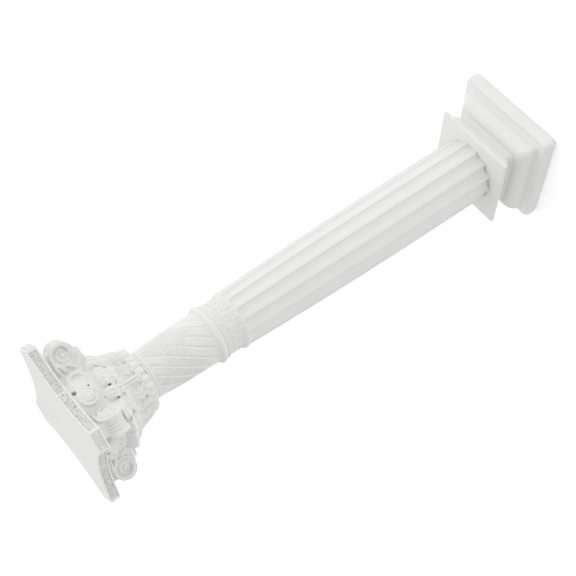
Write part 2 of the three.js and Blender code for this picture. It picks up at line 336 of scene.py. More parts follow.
def fill(tree, node, inputs):
    """Fills a shader node's inputs, each with a plain value or with a link from another node's output"""
    for name, value in inputs.items():
        if isinstance(value, bpy.types.NodeSocket):
            tree.links.new(value, node.inputs[name])
        else:
            node.inputs[name].default_value = value


def new_node(tree, kind, inputs, **settings):
    """A new shader node with its settings made and its inputs filled"""
    node = tree.nodes.new(kind)
    for name, value in settings.items():
        setattr(node, name, value)
    fill(tree, node, inputs)
    return node


def plaster():
    """Matt white cast plaster: faint clouds of tone, a fine grain, and mould pinholes with a dip and painted
    shade
    """
    name = "white_plaster"
    if name in bpy.data.materials:
        return bpy.data.materials[name]
    finish = bpy.context.scene.column_finish
    material = bpy.data.materials.new(name)
    material.use_nodes = True
    tree = material.node_tree
    place = new_node(tree, "ShaderNodeTexCoord", {}).outputs["Object"]

    def noise_at(scale, detail):
        """Soft noise that is fixed to the casting"""
        inputs = {"Vector": place, "Scale": scale, "Detail": detail}
        return new_node(tree, "ShaderNodeTexNoise", inputs).outputs["Fac"]

    dark, light = [(*[min(1, c * share) for c in finish.plaster], 1) for share in CLOUD_TONES]
    tone = new_node(
        tree, "ShaderNodeMix", {"Factor": noise_at(CLOUD_SCALE, 3), "A": dark, "B": light}, data_type="RGBA")
    pits = new_node(tree, "ShaderNodeTexVoronoi", {"Vector": place, "Scale": PINHOLE_SCALE})
    # Each pinhole dips in the bump, and its colour is darkened as painted shade in the pit
    pit_dip_and_painted_shade = new_node(tree, "ShaderNodeMapRange", {
        "Value": pits.outputs["Distance"], "From Min": PINHOLE_EDGE[0], "From Max": PINHOLE_EDGE[1],
        "To Min": PINHOLE_PAINTED_SHADE, "To Max": 1}).outputs["Result"]
    colour = new_node(
        tree, "ShaderNodeMix", {"Factor": 1, "A": tone.outputs["Result"], "B": pit_dip_and_painted_shade},
        data_type="RGBA", blend_type="MULTIPLY")

    sand, grain = noise_at(SAND_SCALE, 2), noise_at(GRAIN_SCALE, 4)
    rough = new_node(tree, "ShaderNodeMath", {0: sand, 1: SAND_SHARE, 2: grain}, operation="MULTIPLY_ADD")
    height = new_node(tree, "ShaderNodeMath", {0: rough.outputs["Value"], 1: pit_dip_and_painted_shade}, operation="ADD")
    bump = new_node(tree, "ShaderNodeBump", {
        "Height": height.outputs["Value"], "Strength": 0.25, "Distance": GRAIN_DEPTH})
    fill(tree, tree.nodes["Principled BSDF"], {
        "Base Color": colour.outputs["Result"], "Roughness": finish.roughness, "Specular IOR Level": 0.3,
        "Normal": bump.outputs["Normal"]})
    return material


# Base


# Heights above the slab where the block's rounded side ends, and the fillet over it
OVOLO_TOP, FILLET_TOP = 14.1, 15.6
# Small curves, as pairs of how far up and how far out: where the block meets the slab, and over the fillet
SPLAY = ((0, 4.0), (0.05, 2.6), (0.25, 1.4), (0.7, 0.6), (1.4, 0.15))
HOLLOW_FOOT = ((0.8, 0.65), (1.9, 0.15), (3.2, 0))
NECKING_CORNER = 3
# How far round the swollen corner the bulge is felt, and how far the whole casting has shrunk
BULGE_REACH, SHRINKAGE = 9, 0.12
# Two bubbles in the hollow on the -Y side
BUBBLES = ((-29.5, -32.6, 24.4), (-26, -30.3, 25.5))
BUBBLE_FACING = (-0.3, -1, 0.6)
BUBBLE_RADIUS, BUBBLE_DEPTH = 0.42, 1.0


def arc(start, end, steps, hollow=False):
    """A quarter ellipse between two (height, half width) points, bulging outwards or hollowed"""
    turns = np.linspace(0, math.pi / 2, steps + 1)
    if hollow:
        return [(end[0] + (start[0] - end[0]) * math.cos(t), start[1] + (end[1] - start[1]) * math.sin(t))
                for t in turns]
    return [(start[0] + (end[0] - start[0]) * math.sin(t), end[1] + (start[1] - end[1]) * math.cos(t))
            for t in turns]


def square_ring(half, corner, z, side=26, turn=7):
    """A square with rounded corners at one height, with many points along its sides"""
    middle = half - corner
    quarter = []
    for step in range(turn + 1):
        angle = step / turn * math.pi / 2
        quarter.append((middle + corner * math.cos(angle), middle + corner * math.sin(angle), z))
    for step in range(1, side):
        quarter.append((middle - 2 * middle * step / side, half, z))
    return np.concatenate([turned(np.array(quarter), math.pi / 2 * i) for i in range(4)])


def base_profile(sizes, top):
    """Height, half width and corner radius of the base from its foot to its top"""
    slab, plate = sizes.slab_height, top - sizes.plate_height
    shoulder, fillet = slab + OVOLO_TOP, slab + FILLET_TOP
    block = [(0, sizes.slab - sizes.bullnose - 0.5)]
    block += [(slab * share, sizes.slab - sizes.bullnose * abs(2 * share - 1) ** 3)
              for share in np.linspace(0.03, 0.97, 22)]
    block += [(slab, sizes.slab - sizes.bullnose - 0.9)]
    block += [(slab + up, sizes.body + out) for up, out in SPLAY]
    block += arc((slab + 2.3, sizes.body), (shoulder, sizes.shoulder), 20)
    block += [(shoulder + 0.8, sizes.shoulder - 0.15), (fillet, sizes.shoulder - 0.75)]
    block += [(fillet + up, sizes.waist + out) for up, out in HOLLOW_FOOT]
    block += arc((fillet + 4.4, sizes.waist), (plate - 1.6, sizes.necking), 14, hollow=True)
    necking = [(plate - 0.8, sizes.necking + 0.5), (plate - 0.1, sizes.necking + 0.9)]
    edge = [(plate, -0.4, 0.8), (plate + 0.4, 0, 0.9), (top - 0.5, 0, 0.9), (top - 0.1, -0.4, 0.8),
            (top, -0.9, 0.8)]
    rows = [(z, half, sizes.corner) for z, half in block]
    rows += [(z, half, NECKING_CORNER) for z, half in necking]
    return rows + [(z, sizes.plate + out, corner) for z, out, corner in edge]


class COLUMN_OT_base(bpy.types.Operator):
    """Make the moulded base: a rounded slab, a block with an ovolo and a hollow, and a thin plate"""

    bl_idname = "column.base"
    bl_label = "Base"

    def execute(self, context):
        sizes = from_mm(context.scene.column_base)
        profile = base_profile(sizes, base_high.z / MM)
        points, faces = skin([square_ring(half, corner, z) for z, half, corner in profile])
        reach = np.hypot(points[:, 0] - sizes.slab, points[:, 1] + sizes.slab)
        up = np.clip(points[:, 2] / sizes.slab_height, 0, 1)
        bulge = sizes.swelling * np.exp(-(reach / BULGE_REACH) ** 2) * (up < 1) * (0.4 + 0.6 * up)
        swell_out(points, bulge - SHRINKAGE + uneven(points, 14, 0.16))
        base = casting("base_casting", points, faces)
        drilled(base, [(place, BUBBLE_FACING, BUBBLE_RADIUS, BUBBLE_DEPTH) for place in BUBBLES])
        dressed(base, "base", 38)
        return {"FINISHED"}


# Shaft


# How far the foot reaches into the thin gap under it
CLOSED = 0.3
# Chips round the foot: the place of each in degrees, and its depth as a share of the undercut
FOOT_CHIPS = ((-108, 0.4), (-137, 1.0), (-162, 1.2), (-176, 1.2), (160, 1.0))
CHIP_HALF = 6
# The leaf band: place of each leaf between two flutes, height of its tip, reach to each side, and depth
BAND_LEAVES = ((0.5, 0.98, 0.42, 0.55), (0.0, 0.62, 0.5, 0.75))
# Its beads: place between two flutes, and height
BAND_BEADS = ((0.25, 0.42), (0.75, 0.42), (0.5, 0.99), (0.25, 0.78), (0.75, 0.78))
BAND_HEIGHT, BEAD = 15, 1.05
# The cut strokes: how steeply they cross a ribbon, how deep they are, and where on the neck they are clear
STROKE_SLANT, STROKE_DEPTH = 0.68, 0.45
STROKE_MIDDLE, STROKE_REACH = 0.6, 0.34
COLLAR_HEIGHT = 3.4
# A pinhole in the leaf band: degrees round the shaft, height over the flutes, radius and depth
PINHOLE = (-83, 5.5, 0.6, 1.6)


def fluted(sizes, z, angle):
    """Radius of the fluted part of the shaft"""
    foot = shaft_low.z / MM
    share = np.clip((z - foot) / (sizes.flute_end - foot), 0, 1)
    radius = sizes.foot + (sizes.top - sizes.foot) * share + sizes.swell * np.sin(math.pi * share ** 1.25)
    pitch = 2 * math.pi / sizes.flutes
    across = (fraction((angle - sizes.turn) / pitch) * 2 - 1) / (1 - sizes.ridge)
    half_width = sizes.top * pitch * (1 - sizes.ridge) / 2
    rounded = np.clip((z - (sizes.flute_end - half_width)) / half_width, 0, None)
    depth = np.sqrt(np.clip(1 - across ** 2 - rounded ** 2, 0, 1))
    return radius - sizes.flute_depth * depth


def chips(angle):
    """Depth of the chips round the foot, as a share of the undercut"""
    off = [(np.degrees(angle) - at + 180) % 360 - 180 for at, _ in FOOT_CHIPS]
    return sum(size * dome(away / CHIP_HALF) for away, (_, size) in zip(off, FOOT_CHIPS))


def leaf_band(sizes, z, angle):
    """Relief of the band of small pointed leaves between the flutes and the ring"""
    pitch = 2 * math.pi / sizes.flutes
    place = (angle - sizes.turn) / pitch
    low, high = sizes.flute_end - 1.5, sizes.flute_end + BAND_HEIGHT
    up = (z - low) / (high - low)
    relief = np.zeros_like(z)
    for shift, tip, reach, proud in BAND_LEAVES:
        across = (fraction(place + shift) - 0.5) * 2
        narrowing = np.clip(1 - (up.clip(0) / tip) ** 2.2, 0, 1) ** 0.7
        width = reach * narrowing * (1 + 0.12 * np.cos(up * 46))
        inside = 1 - np.abs(across) / np.maximum(width, 0.02)
        blade = ramp(inside, 0, 0.3) * (1 - 0.45 * ramp(inside, 0.75, 1)) * ramp(up, -0.02, 0.06)
        veins = 0.12 * np.cos(up * 30 + np.abs(across) * 9) * ramp(inside, 0.05, 0.3)
        relief = np.maximum(relief, proud * blade + veins * (blade > 0.2))
    for shift, height in BAND_BEADS:
        sideways = (fraction(place + shift + 0.5) - 0.5) * pitch * sizes.top
        away = np.hypot(sideways, (up - height) * (high - low))
        relief = np.maximum(relief, 0.7 * dome(away / BEAD))
    return relief


def ring_moulding(sizes, z):
    """Radius of the ring between the flutes and the neck, and of the plain steps under it"""
    up = z - sizes.ring_height
    fillet = (sizes.ring - 1.25) * (np.abs(up + 4.4) < 0.75)
    torus = np.where(np.abs(up) <= 2.2, sizes.ring - 2.4 + 2.4 * dome(up / 2.2), 0)
    step = (sizes.ring - 1.75) * ((up > -5.2) & (up < 0))
    return np.maximum.reduce([fillet, torus, step])


def ribboned(sizes, z, angle, foot, top):
    """Relief of the neck: ribbons that wind up it, each cut across with strokes like a feather"""
    share = (z - foot) / (top - foot)
    place = ((angle - sizes.turn) - sizes.twist * share) / (2 * math.pi) * sizes.flutes
    across = fraction(place)
    number = np.floor(place) % sizes.flutes
    groove = ramp(np.minimum(across, 1 - across), 0.0, 0.09)
    sideways = across * 2 * math.pi / sizes.flutes * sizes.neck_foot
    strokes = np.cos(2 * math.pi * (z + STROKE_SLANT * sideways) / sizes.stroke)
    middle = STROKE_MIDDLE + 0.12 * np.cos(number * 2)
    clear = ramp(STROKE_REACH - np.abs(share - middle), 0, 0.12)
    clear = clear * ramp(across, 0.08, 0.2) * ramp(-across, -0.86, -0.7)
    worn = 0.35 * ramp(across, 0.55, 0.72) * ramp(-across, -0.95, -0.85)
    body = sizes.ribbon * (0.35 + 0.65 * dome(across * 2 - 1)) * groove
    return body + STROKE_DEPTH * strokes * clear + worn * (1 - clear)


def carved_neck(sizes, z, angle, foot, top):
    """Radius of the neck: plain at its two ends, with ribbons between them"""
    share = np.clip((z - foot) / (top - foot), 0, 1)
    plain = sizes.neck_foot + (sizes.neck_top - sizes.neck_foot) * share ** 1.6
    carved = ramp(z, foot + 0.4, foot + 2.2) * (1 - ramp(z, top - 1.4, top))
    relief = ribboned(sizes, z, angle, foot, top)
    return plain - sizes.ribbon + relief * carved + sizes.ribbon * (1 - carved)


def shaft_radius(sizes, z, angle, foot, top):
    """Radius of the whole shaft at each height and angle"""
    radius = fluted(sizes, z, angle)
    radius -= sizes.undercut * chips(angle) * (1 - ramp(z, foot + 0.8, foot + 1.8))
    band = ramp(z, sizes.flute_end + 1, sizes.flute_end + 5)
    radius = radius * (1 - band) + (sizes.neck_foot - 0.1) * band
    under_ring = 1 - ramp(z, sizes.ring_height - 6.5, sizes.ring_height - 5.2)
    radius += leaf_band(sizes, z, angle) * under_ring
    radius = np.maximum(radius, ring_moulding(sizes, z))
    neck_low, neck_high = sizes.ring_height + 2.4, top - COLLAR_HEIGHT
    radius = np.where(z > neck_low, carved_neck(sizes, z, angle, neck_low, neck_high), radius)
    collar = sizes.neck_top - 0.15 + 0.35 * ramp(z, top - 3.3, top - 2.6)
    collar = collar - 0.45 * np.exp(-((z - (top - 1.5)) / 0.35) ** 2)
    return np.where(z > neck_high, collar, radius)


def shaft_rows(sizes, foot, top):
    """Heights of the rows of points up the shaft: far apart on the flutes, close where it is carved"""
    carved = sizes.flute_end - 9
    rows = [foot + up for up in (0, 0.5, 1.1, 1.5, 1.9, 2.4, 3.2)]
    rows += np.linspace(foot + 5, carved, 46).tolist()
    rows += np.arange(carved + 0.45, sizes.ring_height + 2.6, 0.45).tolist()
    rows += np.arange(sizes.ring_height + 2.9, top - 0.2, 0.46).tolist()
    return np.array(rows + [top - 0.1, top])


class COLUMN_OT_shaft(bpy.types.Operator):
    """Make the shaft: flutes with rounded ends, a band of leaves, a ring, and a neck of carved ribbons"""

    bl_idname = "column.shaft"
    bl_label = "Shaft"

    def execute(self, context):
        sizes = from_mm(context.scene.column_shaft)
        foot, top = shaft_low.z / MM - CLOSED, shaft_high.z / MM
        columns = sizes.flutes * 24
        turns = np.arange(columns) / columns * 2 * math.pi
        z, angle = np.meshgrid(shaft_rows(sizes, foot, top), turns, indexing="ij")
        radius = shaft_radius(sizes, z, angle, foot, top)
        points, faces = skin(np.stack([radius * np.cos(angle), radius * np.sin(angle), z], axis=2))
        swell_out(points, uneven(points, 9, 0.14))
        shaft = casting("shaft_casting", points, faces)
        degrees, up, radius, depth = PINHOLE
        turn = math.radians(degrees)
        outward = Vector((math.cos(turn), math.sin(turn), 0))
        place = outward * (sizes.top + 0.2)
        place.z = sizes.flute_end + up
        drilled(shaft, [(place, outward, radius, depth)])
        dressed(shaft, "shaft", 62)
        return {"FINISHED"}


# Capital. Parts are made facing +X, with heights above its foot, and then turned into place


# Pairs of height above the foot and radius of the bell behind the leaves
BELL_PROFILE = ((0, 18.2), (0.8, 21.0), (6, 21.8), (12, 23.4), (18, 25.2), (24, 28), (30, 31), (34, 33.4),
                (40, 34.4), (57, 35.4))
# Pairs of height above the foot and how far out the rolled leaf tips reach, as a share of their reach
FRILL_PROFILE = ((15, 0), (18, 0.16), (20.5, 0.33), (22.4, 0.42), (25.6, 0.5), (27.6, 0.74), (29.4, 0.97),
                 (30.6, 1), (32.4, 0.7), (34.4, 0.3), (35.6, 0))
TONGUES, TONGUE_HALF = 24, 7.4
# The two kinds of leaf: height of the tip, half width in degrees, share of the leaves' depth, and ribs
TALL_LEAF, LOW_LEAF = (34, 14.6, 0.85, 4), (32, 8.2, 1.4, 2)
# Degrees from the middle of a side to the slits between the leaves
SLIT, OUTER_SLIT = 13.8, 31
# Sections of the arm behind a corner scroll: distance out from the scroll, foot, top, and how far it narrows
ARM = ((-22, -13, 9, 0.6), (-14, -9, 11, 0.6), (-7, -7, 12.6, 0.8), (0, -4, 12.6, 1.4), (5, 0, 12.6, 2.6))
# Buds on the sides of the arm: distance from the axis, height and radius
BUDS = ((33, 43.4, 2.0), (37.4, 46.6, 1.7))
# The plate's edge: half height of its sunk field, length of one wave of the stem, and where the stem starts
FIELD_HALF, WAVE, STEM_START = 3.0, 11.0, 3.4
ROSETTE = 3.2
# Drilled holes of each side: degrees from its middle, distance from the axis, height above the foot or, where
# negative, below the top, radius, depth, and how far the drill tips up
MIDDLE_HOLES = ((0, 37, -11.6, 1.9, 10, 0), (-0.5, 34.6, -22.8, 0.9, 3.2, 0))
PAIRED_HOLES = ((13.8, 32.5, 28.8, 1.25, 5.5, -0.1), (30.6, 34, 28.2, 0.95, 4.5, -0.1),
                (22.5, 34.5, 36.0, 0.55, 2.4, 0), (24.0, 35.5, 39.0, 0.5, 2.4, 0),
                (27, 38.5, -10.8, 1.1, 4, 0))
# Distances along the plate's edge of the holes in its scrollwork
EDGE_HOLES = (5.2, 10.7, 16.2, 21.7, 27.2)
# How far its flat ends stay inside the solid's, and about how many triangles it is thinned to
END_GAP, TRIANGLES = 0.02, 190000


def curve_through(knots, count):
    """Evenly spread points on a smooth curve through the knots"""
    knots = np.asarray(knots, dtype=float)
    padded = np.concatenate([[2 * knots[0] - knots[1]], knots, [2 * knots[-1] - knots[-2]]])
    fine = []
    for i in range(1, len(padded) - 2):
        a, b, c, d = padded[i - 1:i + 3]
        for t in np.linspace(0, 1, 12, endpoint=False):
            fine.append(0.5 * (2 * b + (c - a) * t + (2 * a - 5 * b + 4 * c - d) * t ** 2
                               + (3 * b - a - 3 * c + d) * t ** 3))
    fine = np.array(fine + [knots[-1]])
    run = np.concatenate([[0], np.cumsum(np.linalg.norm(np.diff(fine, axis=0), axis=1))])
    where = np.linspace(0, run[-1], count)
    return np.stack([np.interp(where, run, fine[:, k]) for k in range(fine.shape[1])], axis=1)


def bar(path, first_radius, last_radius, sides=12):
    """A round bar along a path, tapering evenly, with rounded ends"""
    path = np.asarray(path, dtype=float)
    radii = np.linspace(first_radius, last_radius, len(path))
    first, last = path[0] - path[1], path[-1] - path[-2]
    first, last = first / np.linalg.norm(first), last / np.linalg.norm(last)
    cap = [(math.sin(math.radians(a)), math.cos(math.radians(a))) for a in (80, 50, 22)]
    places = [path[0] + first * radii[0] * out for out, _ in cap] + list(path)
    places += [path[-1] + last * radii[-1] * out for out, _ in cap[::-1]]
    sizes = [radii[0] * keep for _, keep in cap] + list(radii) + [radii[-1] * keep for _, keep in cap[::-1]]
    places = np.array(places)
    along = np.gradient(places, axis=0)
    along /= np.linalg.norm(along, axis=1)[:, None]
    side = np.cross(along, [0.31, 0.93, 0.2])
    side /= np.linalg.norm(side, axis=1)[:, None]
    out = np.cross(side, along)
    turns = np.arange(sides) / sides * 2 * math.pi
    return skin([place + size * (np.outer(np.cos(turns), s) + np.outer(np.sin(turns), o))
                 for place, size, s, o in zip(places, sizes, side, out)])


def placed(body, origin, right, up, facing):
    """A body made in its own right, up and facing directions, set at a place in the capital"""
    points, faces = body
    return np.asarray(origin) + points @ np.array([right, up, facing], dtype=float), faces


def all_round(bodies, count, start=0):
    """Copies of the bodies, turned evenly about the axis"""
    return [(turned(points, start + 2 * math.pi * i / count), faces)
            for i in range(count) for points, faces in bodies]


def along_profile(profile, up):
    """The value that a profile of pairs has at this height"""
    return np.interp(up, *np.transpose(profile))


def off_axis(angle, count, start):
    """Degrees from the nearest of a number of axes spread evenly round the column"""
    pitch = 360 / count
    return (np.degrees(angle) - start + pitch / 2) % pitch - pitch / 2


def bell_curve(x, width):
    """A soft hump: 1 in its middle and fading to both sides"""
    return np.exp(-(x / width) ** 2)


def tongues(sizes, angle, up):
    """Relief of the small upright tongues round the foot of the capital"""
    across = off_axis(angle, TONGUES, 0) / TONGUE_HALF
    rounded = dome(np.clip((up - sizes.tongue + 2.6) / 2.6, 0, 1))
    return sizes.tongue_proud * dome(across) * rounded * ramp(up, 0.1, 1.2)


def standing_leaf(sizes, off, up, kind):
    """Relief of a leaf that stands against the bell: ribs that fan out to scalloped edges"""
    tip, half, depth, ribs = kind
    share = np.clip(up / tip, 0, 1)
    lobe = np.cos(2 * math.pi * (up + 0.25 * np.abs(off)) / 4.8)
    width = half * (0.7 + 0.3 * np.sin(math.pi * np.clip(share * 0.8 + 0.1, 0, 1))) * (1 + 0.11 * lobe)
    across = np.abs(off) / width
    body = dome(np.clip(across, 0, 1)) ** 0.5
    fan = across * ribs + 0.5 - 0.3 * share * ramp(across, 0.15, 0.6) - 0.14 * lobe * ramp(across, 0.4, 0.9)
    ridge = np.abs(np.cos(math.pi * fan)) ** 0.9
    dimple = 2.2 * bell_curve(across - 0.74, 0.16) * (0.5 - 0.5 * lobe)
    rise = ramp(up, 3, 7.5) * ramp(-up, -tip, 3 - tip)
    return (sizes.leaf_proud * depth * body * (0.25 + 0.75 * ridge) - dimple) * rise


def frill(sizes, angle, up):
    """Relief of the ring of rolled leaf tips, with slits between them and a longer tip at each corner"""
    face_off, corner_off = np.abs(off_axis(angle, 4, 0)), np.abs(off_axis(angle, 4, 45))
    slit = bell_curve(face_off - SLIT, 1.3) + bell_curve(face_off - OUTER_SLIT, 1.3)
    leaf = np.minimum.reduce([face_off / SLIT, np.abs(face_off - 22.4) / 8.6, corner_off / 14])
    lobe = np.cos(2 * math.pi * face_off / 4.6) * 0.5 - 0.9 * bell_curve(leaf, 0.09)
    reach = sizes.frill - along_profile(BELL_PROFILE, 30)
    reach = reach + 1.3 * bell_curve(face_off, 8) + lobe * ramp(up, 20, 27)
    roll = along_profile(FRILL_PROFILE, up + 1.3 * leaf ** 2)
    tab = sizes.corner_tip * np.exp(-(corner_off / 7.5) ** 4) * ramp(up, 28.6, 30) * ramp(-up, -35.6, -33.2)
    support = 9.5 * np.exp(-(corner_off / 11) ** 4) * ramp(up, 31, 32.4) * ramp(-up, -41, -36)
    return np.maximum(reach * roll * (1 - 0.55 * slit * ramp(up, 19, 26)), support) + tab


def leafy_bell(sizes):
    """The bell with its foot tongues, standing leaves and rolled leaf tips, as one body of many points"""
    turns = np.linspace(0, 2 * math.pi, 720, endpoint=False)
    ups = np.concatenate([[0], np.arange(0.3, 42, 0.4), [46, 50, 57]])
    up, angle = np.meshgrid(ups, turns, indexing="ij")
    tall_off, low_off = off_axis(angle, 8, 0), off_axis(angle, 8, 22.5)
    tall, low = standing_leaf(sizes, tall_off, up, TALL_LEAF), standing_leaf(sizes, low_off, up, LOW_LEAF)
    leaf = np.maximum(tall, low)
    seam = bell_curve(np.abs(tall_off) - SLIT, 1.3) * ramp(up, 8, 13) * ramp(-up, -29, -22)
    eye = bell_curve(np.abs(tall_off) - TALL_LEAF[1], 2.4) * bell_curve(up - 15, 3.2)
    veins = 0.85 * (leaf - leaf.mean()) * ramp(up, 17, 22) * ramp(-up, -31, -28)
    standing = np.maximum(leaf - 1.9 * seam - 2.2 * eye, tongues(sizes, angle, up))
    relief = np.maximum(standing, frill(sizes, angle, up) + veins)
    crescent = bell_curve(off_axis(angle, TONGUES, 0), 3.4) * bell_curve(up - sizes.tongue - 0.9, 0.8)
    radius = along_profile(BELL_PROFILE, up) + relief - 1.3 * crescent
    radius += 1.2 * dome(off_axis(angle, 4, 45) / 20) * ramp(-up, -26, -16) * ramp(up, 0, 1.5)
    radius[0] -= 0.5
    return skin(np.stack([radius * np.cos(angle), radius * np.sin(angle), up], axis=2))


def scroll_face(radius, pitch, depth, back, hand, start):
    """One end of a scroll: a disc with a rounded band wound in to its eye, and a groove beside the band"""
    sides, rim = 112, radius - 0.75
    reach = np.concatenate([np.linspace(radius, radius - 0.4, 4), np.linspace(radius - 0.6, 0.25, 40)])
    r, turn = np.meshgrid(reach, np.linspace(0, 2 * math.pi, sides, endpoint=False), indexing="ij")
    wound = (rim - r) / pitch + hand * (turn - start) / (2 * math.pi)
    hollow = (0.5 - 0.5 * np.cos(2 * math.pi * wound)) ** 1.2
    hollow = hollow * ramp(r, 0.9, 1.9) * (1 - ramp(r, rim - 0.5, rim + 0.2))
    rounding = 0.8 * (1 - dome(np.clip((r - rim) / (radius - rim + 0.05), 0, 1)))
    face = -depth * hollow - rounding - 0.5 * ramp(-r, -rim, -rim * 0.4)
    rings = np.stack([r * np.cos(turn), r * np.sin(turn), face], axis=2)
    side = rings[0] * [1, 1, 0] - [0, 0, 1.5]
    foot = rings[0] * [0.8, 0.8, 0] - [0, 0, back]
    return skin(np.concatenate([[foot, side], rings]))


def drum(rows, sides=72):
    """A turned body about its own facing direction, from pairs of radius and place"""
    turns = np.linspace(0, 2 * math.pi, sides, endpoint=False)
    return skin([np.stack([r * np.cos(turns), r * np.sin(turns), np.full(sides, n)], axis=1)
                 for r, n in rows])


def scroll_roll(sizes, roll):
    """The ribbed roll of a corner scroll, from one recessed end to the other"""
    end = [(sizes.volute * 0.3, 4.6), (sizes.volute - 2.1, 4.4), (sizes.volute - 1.9, 0)]
    rows = [(r, inwards - roll) for r, inwards in end]
    for n in np.linspace(-roll, roll, 81):
        groove = (n / roll + 1) / 2 * sizes.volute_ribs + 0.5
        cut = math.exp(-((groove - round(groove)) * 2 * roll / sizes.volute_ribs / 0.5) ** 2)
        rows.append((sizes.volute - 0.3 - 1.6 * cut - 0.6 * (1 - (n / roll) ** 2), n))
    return drum(rows + [(r, roll - inwards) for r, inwards in end[::-1]])


def scroll_arm(sizes, height, roll):
    """The arm that carries a corner scroll out from the bell"""
    rings = []
    for out, low, high, narrowing in ARM:
        wide, middle = roll - narrowing, (low + high) / 2
        corners = ((-wide, low), (wide, low), (wide, middle), (wide, high), (-wide, high), (-wide, middle))
        rings.append([(sizes.volute_out + out, y, height + up) for y, up in corners])
    return skin(rings)


def volute(sizes, height):
    """A corner scroll: a ribbed roll across the diagonal with a spiral on each end, and the arm behind it"""
    radius, half = sizes.volute, sizes.volute_width / 2
    roll, edge = half - 1.2, half - 1.4
    centre = (sizes.volute_out, 0, height)
    bodies = [placed(scroll_roll(sizes, roll), centre, (1, 0, 0), (0, 0, 1), (0, 1, 0))]
    for side in (-1, 1):
        points, faces = scroll_face(radius, 3.6, 2.8, 3.8, 1, math.radians(150))
        face = points + [0, 0, half - 0.9], faces
        bodies.append(placed(face, centre, (1, 0, 0), (0, 0, 1), (0, side, 0)))
    upper = [(27, 44), (34, 49.2), (41, 51.2), (sizes.volute_out, height + radius - 0.9)]
    lower = [(28, 36), (33, 37.4), (36.4, 39.6), (sizes.volute_out - radius + 0.7, height)]
    for side in (-1, 1):
        for line, thick in ((upper, 1.5), (lower, 1.3)):
            path = curve_through([(out, side * edge, up) for out, up in line], 18)
            bodies.append(bar(path, thick, thick * 0.9))
        for out, up, size in BUDS:
            bud = [(out - 1.6, side * edge, up - 0.8), (out + 1.6, side * edge, up + 0.8)]
            bodies.append(bar(bud, size, size * 0.6))
    return bodies + [scroll_arm(sizes, height, roll)]


def helix(sizes, height, side):
    """A small scroll beside the middle of each side, wound inwards"""
    face = scroll_face(sizes.helix, 3.1, 2.6, 9, -1, math.radians(-60))
    centre = (sizes.helix_out, side * sizes.helix_side, height)
    return [placed(face, centre, (0, side, 0), (0, 0, 1), (1, 0, 0))]


def abacus_outline(sizes, inset):
    """The outline of the top plate: four hollow sides between four cut-off corners"""
    corner = sizes.corner - inset
    x = (corner + sizes.horn - inset * 0.4) * math.sqrt(0.5)
    y = (corner - sizes.horn + inset * 0.4) * math.sqrt(0.5)
    side = [(x - sizes.hollow * (1 - share ** 2), share * y) for share in np.linspace(-1, 1, 49)]
    horn_from, horn_to = np.array(side[-1]), np.array([y, x])
    horn = [tuple(horn_from + (horn_to - horn_from) * share) for share in np.linspace(0, 1, 12)[1:-1]]
    quarter = np.array(side + horn)
    quarter = np.column_stack([quarter, np.zeros(len(quarter))])
    return np.concatenate([turned(quarter, math.pi / 2 * i) for i in range(4)])


def abacus(sizes, top):
    """The top plate, with a small bead under it"""
    low = top - sizes.abacus
    rows = [(low - 0.4, 2.6), (low - 0.4, 1.4), (low + 0.1, 0.5), (low + 0.5, 0.1),
            (top - 0.5, 0.0), (top - 0.15, 0.15), (top, 0.6)]
    return skin([abacus_outline(sizes, inset) + [0, 0, z] for z, inset in rows])


def winding_stem(along, up):
    """Scrollwork on the edge of the top plate: 1 where it stands full height, 0 in the sunk field"""
    reach = np.abs(along)
    stem = bell_curve(up - 1.5 * np.sin(2 * math.pi * (reach - STEM_START) / WAVE), 0.42)
    lap = (reach - STEM_START - WAVE / 4) / (WAVE / 2)
    flip = np.where(np.round(lap) % 2 < 1, 1, -1)
    curl_along, curl_up = (lap - np.round(lap)) * WAVE / 2, up + flip * 0.55
    curl, turn = np.hypot(curl_along, curl_up), np.arctan2(curl_up, curl_along)
    curls = bell_curve(curl - 1.7, 0.34) * (np.abs(turn + flip * 2.2) > 0.6) + bell_curve(curl, 0.55)
    leaves = 0.45 * np.sin(along * 3.4 + up * 2.3) * np.sin(along * 1.7 - up * 3.4)
    away = np.hypot(along, up)
    petals = 0.35 + 0.65 * np.cos(2.5 * np.arctan2(up, along)) ** 2
    petals = np.where(away < 0.8, -0.4, petals * ramp(-away, -2.9, -2.3))
    return np.where(away < ROSETTE, petals, np.maximum(stem, curls) + leaves)


def horn_ovals(across, up):
    """Ovals on the cut-off corners of the top plate, with a small flower in each"""
    oval = np.hypot(across / 5.4, up / 2.5)
    flower = 0.6 + 0.4 * np.cos(4 * np.arctan2(up * 2, across))
    return bell_curve(oval - 0.86, 0.14) + bell_curve(oval - 0.3, 0.2) * flower


